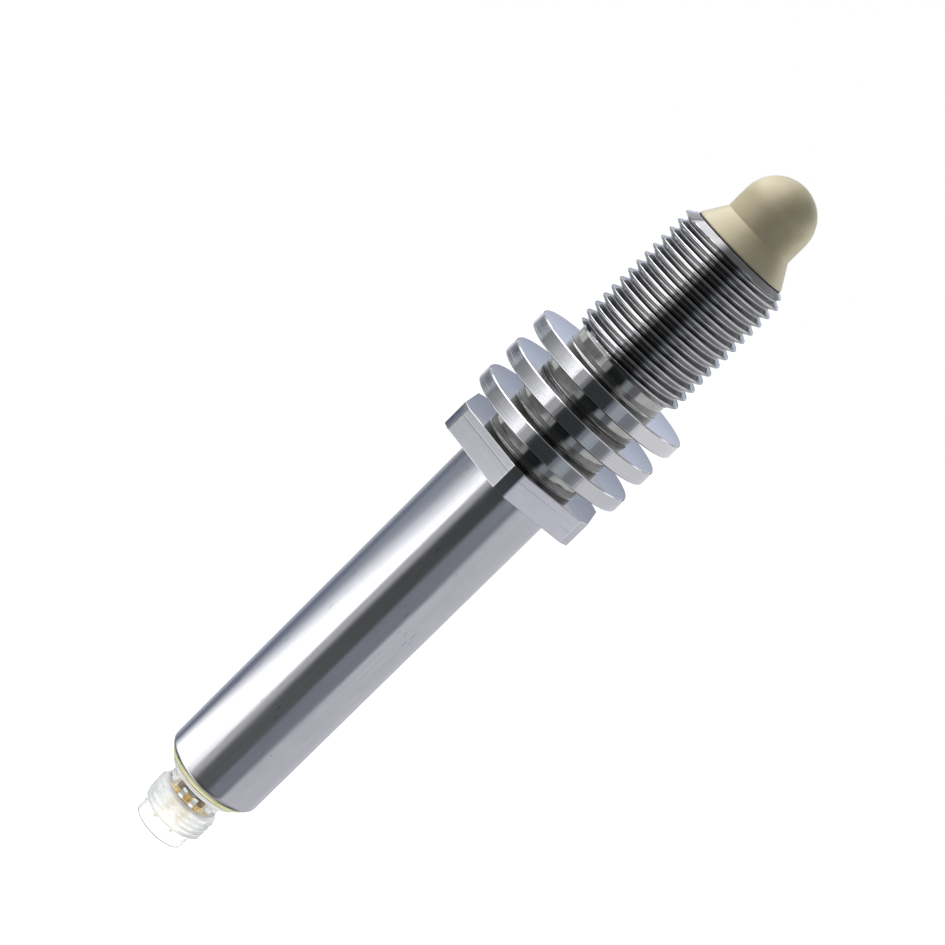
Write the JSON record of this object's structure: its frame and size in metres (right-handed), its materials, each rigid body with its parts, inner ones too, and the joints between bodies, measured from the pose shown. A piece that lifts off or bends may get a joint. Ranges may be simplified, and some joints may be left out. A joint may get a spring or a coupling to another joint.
{
  "type": "capacitive proximity sensor",
  "caption": "Slim steel process sensor with a domed plastic sensing tip, pipe thread, cooling fins, spanner hexagon, long tube and clear M12 plug connector.",
  "frame": {"origin": "on the sensor's axis, at the rear end of the process thread", "axes": "+Z along the axis towards the sensing tip; the hexagon has flats facing +X and -X"},
  "size_m": [0.03, 0.03, 0.148],
  "materials": {
    "tip_plastic": "satin beige high-temperature plastic",
    "seal_rubber": "matt black",
    "electrode_brass": "turned",
    "insulator_white": "matt white",
    "feed_plastic": "matt",
    "turned_steel": "fine turned stainless steel",
    "weld_steel": "rippled weld bead",
    "tube_steel": "stainless steel brushed along the tube",
    "holder_black": "matt",
    "board_green": "solder mask",
    "chip_black": "matt",
    "capacitor_tan": "ceramic",
    "led_green": "clear tinted",
    "led_yellow": "clear tinted",
    "carrier_grey": "satin",
    "pin_gold": "gold plated",
    "clear_plastic": "clear, slightly milky",
    "cap_cream": "satin cream"
  },
  "bodies": {
    "root": {"sensor_tip": "tip_plastic", "tip_gasket": "seal_rubber", "active_electrode": "electrode_brass", "electrode_spacer": "insulator_white", "guard_electrode": "electrode_brass", "signal_rod": "electrode_brass", "rod_sleeve": "insulator_white", "feed_sleeve": "feed_plastic", "guard_lead": "electrode_brass", "process_connection": "turned_steel", "weld_seam": "weld_steel", "cooling_body": "turned_steel", "housing_tube": "tube_steel", "insulating_sleeve": "insulator_white", "front_holder": "holder_black", "main_board": "board_green", "sensing_chip": "chip_black", "controller_chip": "chip_black", "voltage_regulator": "chip_black", "output_driver": "chip_black", "chip_capacitors": "capacitor_tan", "power_led": "led_green", "switching_led": "led_yellow", "pin_board": "board_green", "pin_carrier": "carrier_grey", "contact_pin_1": "pin_gold", "contact_pin_2": "pin_gold", "contact_pin_3": "pin_gold", "contact_pin_4": "pin_gold", "contact_pin_5": "pin_gold", "connector_body": "clear_plastic", "shank_ring": "seal_rubber", "rear_cap": "cap_cream", "cap_ring": "seal_rubber"}
  },
  "joints": []
}
